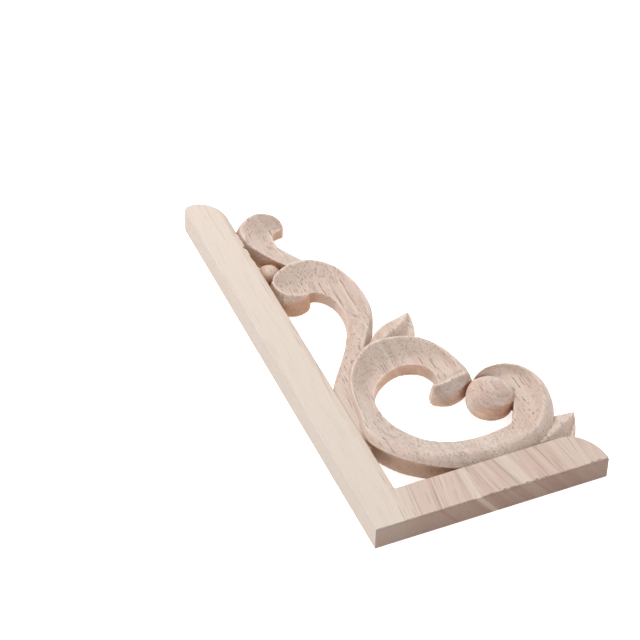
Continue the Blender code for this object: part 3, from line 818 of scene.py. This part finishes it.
# Painted shade on the curl's front
CURL_FRONT_SHADE = (0.84, 0.85, 0.86, 1)
CURL_SPOT = (79.5, 79.5)
CURL_REACH = (8.5, 12.0)
CURL_SPAN = (0.25, 0.5)
CURL_LEVEL_SPAN = (0.15, 0.4)
SHADED = (0.90, 0.80, 0.70, 1)
SHADED_HEIGHTS = (9.0, 6.5)
LIP_SPOT = (31.0, 169.0)
LIP_REACH = (9.0, 13.0)
LIP_SPAN = (0.2, 0.6)
BUD_REACH = (7.0, 8.5)
# Rims paler: partly sanded wood, partly painted highlight
RIM_SANDED_AND_HIGHLIGHT = (1.15, 1.17, 1.20, 1)
RIM_SPAN = (0.06, 0.55)
RIM_HIDDEN_SPAN = (0.15, 0.5)
RIM_HEIGHTS = (2.0, 6.0)
# Painted shade in grooves
GROOVE_SHADE = (0.86, 0.80, 0.74, 1)
GROOVE_SPAN = (0.1, 1.0)
# Painted shade, darker and warmer, in corners that the wood itself hides
DEEP_SHADE = (0.76, 0.585, 0.46, 1)
DEEP_SPAN = (0.25, 0.85)
DEEP_RIGHT_SPAN = (0.2, 0.8)
DEEP_LESS_ON_RIGHT = 0.6

# The relief of the surface in millimetres, and its gloss
FIBRE_HEIGHT = 0.10
FUZZ_HEIGHT = 0.12
PORE_DEPTH = 0.20
ROUGHNESS = 0.66
FIBRE_ROUGHNESS = 0.16
SPECULAR = 0.3


class Finish:
    """One material, with a short word for each sum and pattern that its nodes make."""

    def __init__(self, name):
        self.material = bpy.data.materials.new(name)
        self.material.use_nodes = True
        self.tree = self.material.node_tree
        self.sockets = self.tree.nodes["Principled BSDF"].inputs

    def node(self, kind, **settings):
        made = self.tree.nodes.new(kind)
        for key, value in settings.items():
            setattr(made, key, value)
        return made

    def feed(self, socket, value):
        """Plug a socket with another node's output, or set its own value."""
        if isinstance(value, bpy.types.NodeSocket):
            self.tree.links.new(value, socket)
        else:
            socket.default_value = value

    def calc(self, operation, *values, clamp=False):
        """One sum on plain numbers."""
        made = self.node("ShaderNodeMath", operation=operation, use_clamp=clamp)
        for socket, value in zip(made.inputs, values):
            self.feed(socket, value)
        return made.outputs[0]

    def plus(self, first, second):
        return self.calc("ADD", first, second)

    def minus(self, first, second):
        return self.calc("SUBTRACT", first, second)

    def times(self, first, *others):
        """The product of all the values."""
        for other in others:
            first = self.calc("MULTIPLY", first, other)
        return first

    def sloped(self, value, slope, start):
        """A line: the start plus the slope for each unit of the value."""
        return self.calc("MULTIPLY_ADD", value, slope, start)

    def rest(self, value):
        """What is left of 1."""
        return self.minus(1.0, value)

    def less(self, share, where):
        """1, and less by this share where the other value is 1."""
        return self.sloped(where, -share, 1.0)

    def size(self, value):
        """The value without its sign."""
        return self.calc("ABSOLUTE", value)

    def between(self, value, span):
        """0 before the span, 1 after it, smooth within."""
        made = self.node("ShaderNodeMapRange", interpolation_type="SMOOTHSTEP")
        self.feed(made.inputs["Value"], value)
        made.inputs["From Min"].default_value, made.inputs["From Max"].default_value = span
        return made.outputs["Result"]

    def split(self, vector):
        made = self.node("ShaderNodeSeparateXYZ")
        self.feed(made.inputs[0], vector)
        return tuple(made.outputs)

    def vector(self, x, y, z):
        made = self.node("ShaderNodeCombineXYZ")
        for socket, value in zip(made.inputs, (x, y, z)):
            self.feed(socket, value)
        return made.outputs[0]

    def vector_calc(self, operation, first, second, output=0):
        made = self.node("ShaderNodeVectorMath", operation=operation)
        self.feed(made.inputs[0], first)
        self.feed(made.inputs[1], second)
        return made.outputs[output]

    def noise(self, place, detail, roughness=0.5, scale=1.0, output="Fac"):
        made = self.node("ShaderNodeTexNoise", noise_dimensions="3D")
        self.feed(made.inputs["Vector"], place)
        made.inputs["Scale"].default_value = scale
        made.inputs["Detail"].default_value = detail
        made.inputs["Roughness"].default_value = roughness
        return made.outputs[output]

    def ramp(self, value, span, stops):
        """A tone that runs from stop to stop across the span."""
        made = self.node("ShaderNodeValToRGB")
        self.feed(made.inputs[0], self.calc("DIVIDE", value, span))
        elements = made.color_ramp.elements
        elements.remove(elements[1])
        elements[0].position = stops[0][0] / span
        for place, tone in stops[1:]:
            elements.new(place / span)
        for element, (place, tone) in zip(elements, stops):
            element.color = (tone, tone, tone, 1)
        return self.channels(made.outputs[0])[0]

    def channels(self, colour):
        """A colour's red, green and blue."""
        made = self.node("ShaderNodeSeparateColor")
        self.feed(made.inputs[0], colour)
        return tuple(made.outputs)

    def blend(self, share, first, second, how="MIX"):
        """The second colour laid over the first, by this share."""
        made = self.node("ShaderNodeMix", data_type="RGBA", blend_type=how)
        self.feed(made.inputs[0], share)
        self.feed(made.inputs[6], first)
        self.feed(made.inputs[7], second)
        return made.outputs[2]

    def tinted(self, base, tint, share):
        """The base colour multiplied by a tint, by this share."""
        return self.blend(share, base, self.blend(1.0, base, tint, "MULTIPLY"))

    def within(self, place, centre, span):
        """1 nearer to the centre than the span's start, 0 beyond its end."""
        return self.rest(self.between(self.vector_calc("DISTANCE", place, (*centre, 0), "Value"), span))

    def mark(self, name):
        """A number noted on the mesh."""
        return self.node("ShaderNodeAttribute", attribute_name=name).outputs["Fac"]

    def vessels(self, place, cell, radius, wander, seed):
        """Open vessels: thin tubes along the grain that wander in and out of the surface."""
        drift = self.noise(self.vector_calc("MULTIPLY", place, PORE_DRIFT), detail=1.0, output="Color")
        drift = self.vector_calc("SUBTRACT", drift, (0.5, 0.5, 0.5))
        drift = self.vector_calc("MULTIPLY", drift, (wander, 0, wander))
        x, _, z = self.split(self.vector_calc("ADD", place, drift))
        grid = self.node("ShaderNodeTexVoronoi", voronoi_dimensions="2D", feature="F1")
        across = self.vector(self.sloped(x, 1 / cell, seed), self.sloped(z, 1 / cell, seed), 0.0)
        self.feed(grid.inputs["Vector"], across)
        grid.inputs["Scale"].default_value = 1.0
        pick_size, pick_depth, _ = self.channels(grid.outputs["Color"])
        reach = radius / cell
        own = self.times(self.sloped(pick_size, 1 - PORE_SMALLEST, PORE_SMALLEST), reach)
        gap = self.minus(own, grid.outputs["Distance"])
        depth = self.sloped(pick_depth, 1 - PORE_FAINTEST, PORE_FAINTEST)
        return self.times(self.between(gap, (0.0, reach * PORE_EDGE)), depth)


class Wood(Finish):
    """Rubberwood: two staves, slanting growth bands, streaks along the grain, and open pores."""

    def __init__(self, name):
        super().__init__(name)
        coordinates = self.node("ShaderNodeTexCoord")
        in_mm = self.node("ShaderNodeMapping", vector_type="POINT")
        self.feed(in_mm.inputs["Vector"], coordinates.outputs["Object"])
        in_mm.inputs["Scale"].default_value = (1 / MM, 1 / MM, 1 / MM)
        in_mm.inputs["Location"].default_value = (*ORIGIN, 0)
        self.place = in_mm.outputs[0]
        self.x, self.y, self.z = self.split(self.place)
        self.flat_place = self.vector(self.x, self.y, 0.0)
        # which way the surface faces: to the right, away and up, each from -1 to 1
        geometry = self.node("ShaderNodeNewGeometry")
        self.right, self.away, self.up = self.split(geometry.outputs["Normal"])
        self.front = self.times(self.away, -1.0)
        # the two staves, and what of them is carved
        line = self.plus(self.times(self.y, GLUE_SLOPE), GLUE_LINE)
        self.past_glue = self.minus(self.x, self.calc("MINIMUM", line, GLUE_LINE + GLUE_DRIFT))
        self.light_stave = self.rest(self.between(self.past_glue, GLUE_SPAN))
        carved = self.between(self.past_glue, CARVED_SPAN)
        self.carved = self.times(carved, self.between(self.y, ROOT_SPAN))
        self.planed = self.rest(self.carved)
        self.upright = self.times(self.rest(self.between(self.size(self.up), UPRIGHT_SPAN)), self.carved)
        # the grain leans to one side or the other as it runs along Y, and wanders further up
        lean = self.times(self.minus(self.ramp(self.x, LEAN_SPAN, LEAN), 0.5), LEAN_RANGE)
        leaned = self.times(lean, self.calc("MINIMUM", self.y, LEAN_UP_TO))
        wander = self.times(self.minus(self.noise(self.place, detail=1.0, scale=WANDER_SCALE), 0.5), WANDER)
        wander = self.times(wander, self.between(self.y, WANDER_SPAN))
        self.across_grain = self.plus(self.minus(self.x, leaned), wander)
        self.ring = self.plus(self.across_grain, self.times(self.z, RING_LEAN))

    def patterned(self, waves, detail, roughness):
        """Noise in the board's own directions."""
        return self.noise(self.vector_calc("MULTIPLY", self.place, waves), detail, roughness)

    def staves(self):
        """The two staves' colours, with their streaks and lines."""
        strength = self.less(FAINTER_ON_CARVING, self.carved)
        streaks = self.sloped(self.minus(self.ramp(self.ring, STREAK_SPAN, STREAKS), 0.5), strength, 0.5)
        (ring_waves, y_waves), third, *grade = BANDS
        bands = self.vector(self.times(self.ring, ring_waves), self.times(self.y, y_waves), third)
        bands = self.noise(bands, *grade)
        tone = self.plus(self.times(streaks, STREAK_SHARE), self.times(bands, 1 - STREAK_SHARE))
        lower = self.times(self.between(self.past_glue, GLUE_PALER_SPAN), GLUE_PALER)
        tone = self.plus(tone, self.minus(GLUE_PALER, lower))
        pink = self.blend(self.between(tone, TONE_SPAN), PINK, PALE)
        (ring_waves, y_waves, z_waves), *grade = LINES
        lines = self.vector(self.times(self.ring, ring_waves), self.times(self.y, y_waves),
                            self.times(self.z, z_waves))
        lines = self.noise(lines, *grade)
        share = self.times(self.between(lines, PINK_LINE_SPAN), self.times(strength, PINK_LINE_SHARE))
        pink = self.ball_arcs(self.blend(share, pink, DARK_STREAK))
        share = self.times(self.between(lines, CREAM_LINE_SPAN), CREAM_LINE_SHARE)
        return self.blend(self.light_stave, pink, self.blend(share, CREAM, CREAM_STREAK))

    def ball_arcs(self, base):
        """The ball was turned across the rings, which show on its dome as arcs."""
        (x_waves, y_waves, z_waves), third, *grade = ARCS
        across = self.sloped(self.x, x_waves, self.times(self.z, z_waves))
        arcs = self.noise(self.vector(across, self.times(self.y, y_waves), third), *grade)
        on_ball = self.within(self.flat_place, BALL_CENTRE, BALL_REACH)
        share = self.times(self.between(arcs, ARC_SPAN), self.times(on_ball, ARC_SHARE))
        return self.blend(share, base, DARK_STREAK)

    def pores(self):
        """How deep a pore is open at each spot: fewest on the pale stave, the legs and the walls."""
        along = self.vector(self.across_grain, self.y, self.z)
        fine = self.times(self.vessels(along, *FINE_PORES), FINE_DEPTH)
        coarse = self.times(self.vessels(along, *COARSE_PORES), COARSE_DEPTH)
        walls = self.rest(self.between(self.size(self.up), WALL_SPAN))
        level = self.sloped(self.between(self.up, LEVEL_SPAN), MORE_ON_LEVEL, SHARE_ON_SLOPES)
        fewer = self.times(self.less(FEWER_ON_LEGS, self.planed),
                           self.less(FEWER_ON_CREAM, self.light_stave),
                           self.less(FEWER_ON_WALLS, walls), level)
        return self.times(self.calc("MAXIMUM", fine, coarse), fewer)

    def mottled(self, base, fuzz):
        """Slightly uneven in tone, most of all on the carving."""
        mottle = self.blend(self.between(fuzz, MOTTLE_SPAN), MOTTLE_DARK, MOTTLE_LIGHT)
        return self.tinted(base, mottle, self.sloped(self.carved, 1 - MOTTLE_ON_LEGS, MOTTLE_ON_LEGS))

    def cut(self, base):
        """Darker where it is cut across the grain, painted shade on the legs' side walls, and a warmer brown
        on carved walls: partly their cut grain, partly painted warm shade.
        """
        across = self.size(self.away)
        base = self.tinted(base, END_GRAIN, self.times(self.between(across, END_GRAIN_SPAN), self.planed))
        ray = self.minus(self.between(self.ring, RAY_START), self.between(self.ring, RAY_END))
        base = self.tinted(base, RAY, self.times(ray, self.rest(self.between(self.y, RAY_DEPTH))))
        # painted shade on the legs' side walls
        sides = self.between(self.size(self.right), SIDE_WALL_SHADE_SPAN)
        base = self.tinted(base, SIDE_WALL_SHADE, self.times(sides, self.planed))
        # carved walls browner: partly cut grain, partly painted warm shade
        base = self.tinted(base, SAWN_WALL_AND_WARM_SHADE, self.times(self.upright, self.between(across, SAWN_SPAN)))
        squarely = self.between(across, CUT_ACROSS_SPAN)
        return self.tinted(base, CUT_ACROSS, self.times(self.upright, squarely))

    def painted_facing_light(self, base):
        """Painted light and shade by which way a carved slope faces: darker to the front and on the left,
        paler to the right and on the far side.
        """
        # painted shade on slopes facing the front
        torn = self.between(self.front, FRONT_SHADE_SPAN)
        torn = self.sloped(self.between(self.front, FRONT_SHADE_END_SPAN), -FRONT_SHADE_END_SHARE, torn)
        base = self.tinted(base, FRONT_SHADE, self.times(torn, self.carved))
        # painted light on slopes facing right and away
        far = self.between(self.plus(self.right, self.away), FAR_SPAN)
        base = self.tinted(base, FAR_SIDE_LIGHT, self.times(far, self.carved))
        # painted shade on slopes facing left
        left = self.between(self.times(self.right, -1.0), LEFT_SPAN)
        left = self.times(left, self.between(self.up, LEFT_LEVEL_SPAN))
        base = self.tinted(base, LEFT_SIDE_SHADE, self.times(left, self.carved))
        # painted light on slopes facing right and to the front
        right = self.between(self.minus(self.right, self.times(self.away, RIGHT_AHEAD)), RIGHT_SPAN)
        right = self.times(right, self.less(RIGHT_LESS_ON_WALLS, self.upright))
        return self.tinted(base, RIGHT_SIDE_LIGHT, self.times(right, self.carved))

    def shaded_spots(self, base):
        """Painted shade: the curl's front darker, and the bud and the lip's wall browner."""
        # painted shade on the curl's front, and below on the lip's wall and the bud
        curl = self.within(self.flat_place, CURL_SPOT, CURL_REACH)
        curl = self.times(curl, self.between(self.front, CURL_SPAN), self.between(self.up, CURL_LEVEL_SPAN))
        base = self.tinted(base, CURL_FRONT_SHADE, curl)
        lip = self.within(self.flat_place, LIP_SPOT, LIP_REACH)
        lip = self.times(lip, self.between(self.front, LIP_SPAN))
        shaded = self.calc("MAXIMUM", lip, self.within(self.flat_place, BUD_CENTRE, BUD_REACH))
        return self.tinted(base, SHADED, self.times(shaded, self.between(self.z, SHADED_HEIGHTS)))

    def lit_rims_and_shaded_crevices(self, base):
        """Rims paler, partly sanded and partly a painted highlight, and painted shade that makes grooves and
        hidden corners darker and warmer.
        """
        edged = self.mark("edged")
        hidden = self.mark("hidden")
        # painted highlight on open rims, with some sanded paleness
        sanded_and_lit_rim = self.times(self.between(edged, RIM_SPAN), self.carved)
        sanded_and_lit_rim = self.times(sanded_and_lit_rim, self.rest(self.between(hidden, RIM_HIDDEN_SPAN)))
        base = self.tinted(base, RIM_SANDED_AND_HIGHLIGHT, self.times(sanded_and_lit_rim, self.between(self.z, RIM_HEIGHTS)))
        # painted shade in grooves
        base = self.tinted(base, GROOVE_SHADE, self.between(self.times(edged, -1.0), GROOVE_SPAN))
        # painted shade in hidden corners
        deep = self.times(self.between(hidden, DEEP_SPAN), self.carved)
        deep = self.times(deep, self.less(DEEP_LESS_ON_RIGHT, self.between(self.right, DEEP_RIGHT_SPAN)))
        return self.tinted(base, DEEP_SHADE, deep)


def pale_wood():
    """The bare sanded wood of the whole onlay, with painted light and shade in its colour."""
    wood = Wood("pale_wood_finish")
    holes = wood.pores()
    fuzz = wood.patterned(*FUZZ)
    fibres = wood.patterned(*FIBRES)
    base = wood.blend(wood.calc("MULTIPLY", holes, PORE_SHARE, clamp=True), wood.staves(), PORE)
    base = wood.mottled(base, fuzz)
    # these tints add the cut grain, and painted light and shade, to the colour
    for tinting in (wood.cut, wood.painted_facing_light, wood.shaded_spots, wood.lit_rims_and_shaded_crevices):
        base = tinting(base)
    wood.feed(wood.sockets["Base Color"], base)
    height = wood.plus(wood.times(fibres, FIBRE_HEIGHT), wood.times(fuzz, FUZZ_HEIGHT))
    bump = wood.node("ShaderNodeBump")
    wood.feed(bump.inputs["Height"], wood.minus(height, wood.times(holes, PORE_DEPTH)))
    bump.inputs["Strength"].default_value = 1.0
    bump.inputs["Distance"].default_value = MM
    wood.feed(wood.sockets["Normal"], bump.outputs[0])
    wood.feed(wood.sockets["Roughness"], wood.sloped(fibres, FIBRE_ROUGHNESS, ROUGHNESS))
    wood.sockets["Specular IOR Level"].default_value = SPECULAR
    return wood.material


# The studio. The camera's place is in the drawing's millimetres, and the lights' places are in metres.
CAMERA_AT = (-373.32, -724.79, 917.26)
CAMERA_RIGHT = (0.91584, -0.4006, 0.0275)
CAMERA_UP = (0.25663, 0.6366, 0.72725)
CAMERA_NEAR = 0.05
CAMERA_FAR = 50
LENS = 143.135
SENSOR = 36.0
WHITE = (1, 1, 1, 1)
PAPER = (0.9, 0.9, 0.9, 1)
PAPER_ROUGHNESS = 0.9
FLOOR_SIZE = 6.0
FLOOR_DROP = 0.0002
FLOOR_GLOW = 0.62
SKY = 0.62
AIM = (0.05, 0.1, 0)
# Each softbox: its place, its size across and its power
KEY = ((-0.30, 1.15, 1.35), 0.8, 24.5)
FILL = ((0.15, -1.62, 0.50), 1.2, 7.5)


def camera():
    data = bpy.data.cameras.new("camera")
    data.lens = LENS
    data.sensor_width = SENSOR
    data.clip_start = CAMERA_NEAR
    data.clip_end = CAMERA_FAR
    item = shown("camera", data)
    right = Vector(CAMERA_RIGHT).normalized()
    up = Vector(CAMERA_UP).normalized()
    back = right.cross(up)
    turn = Matrix((right, up, back)).transposed().to_4x4()
    item.matrix_world = Matrix.Translation(placed(*CAMERA_AT)) @ turn
    bpy.context.scene.camera = item


def floor():
    mesh = bmesh.new()
    bmesh.ops.create_grid(mesh, x_segments=2, y_segments=2, size=FLOOR_SIZE)
    data = bpy.data.meshes.new("floor")
    mesh.to_mesh(data)
    mesh.free()
    item = shown("floor", data)
    item.location.z = -FLOOR_DROP
    paper = Finish("floor_paper")
    paper.sockets["Base Color"].default_value = PAPER
    paper.sockets["Roughness"].default_value = PAPER_ROUGHNESS
    paper.sockets["Emission Color"].default_value = WHITE
    paper.sockets["Emission Strength"].default_value = FLOOR_GLOW
    data.materials.append(paper.material)


def softbox(name, place, size, power):
    data = bpy.data.lights.new(name, "AREA")
    data.shape = "DISK"
    data.size = size
    data.energy = power
    item = shown(name, data)
    item.location = place
    item.rotation_mode = "QUATERNION"
    item.rotation_quaternion = (Vector(AIM) - Vector(place)).to_track_quat("-Z", "Y")


def studio():
    scene = bpy.context.scene
    scene.view_settings.view_transform = "Standard"
    world = bpy.data.worlds.new("studio")
    world.use_nodes = True
    background = world.node_tree.nodes["Background"]
    background.inputs["Color"].default_value = WHITE
    background.inputs["Strength"].default_value = SKY
    scene.world = world
    softbox("key", *KEY)
    softbox("fill", *FILL)
    floor()
    camera()


def onlay():
    """The whole carving as one piece."""
    item = joined("carved_wood", [
        legs(),
        band(STRAND_CUTS, STRAND_HEIGHTS),
        band(LIP_CUTS, LIP_HEIGHTS, bulging=True),
        band(LOOP_CUTS, LOOP_HEIGHTS),
        band(CURL_CUTS, CURL_HEIGHTS, bulging=True),
        band(HOOK_CUTS, HOOK_HEIGHTS, bulging=True),
        band(FLANK_CUTS, FLANK_HEIGHTS),
        band(INNER_LEAF_CUTS, INNER_LEAF_HEIGHTS),
        band(END_LEAF_CUTS, END_LEAF_HEIGHTS),
        band(INNER_STRIP_CUTS, STRIP_HEIGHTS),
        band(END_STRIP_CUTS, STRIP_HEIGHTS),
        turned(BALL_CENTRE, crown(BALL_PROFILE) + list(BALL_WALL)),
        turned(BUD_CENTRE, crown(BUD_PROFILE), BUD_STRETCH),
    ])
    skinned(item)
    worn(item)
    thinned(item)
    marked(item)
    item.data.materials.clear()
    item.data.materials.append(pale_wood())
    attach(item, "root")
    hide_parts(NODE)


onlay()
studio()
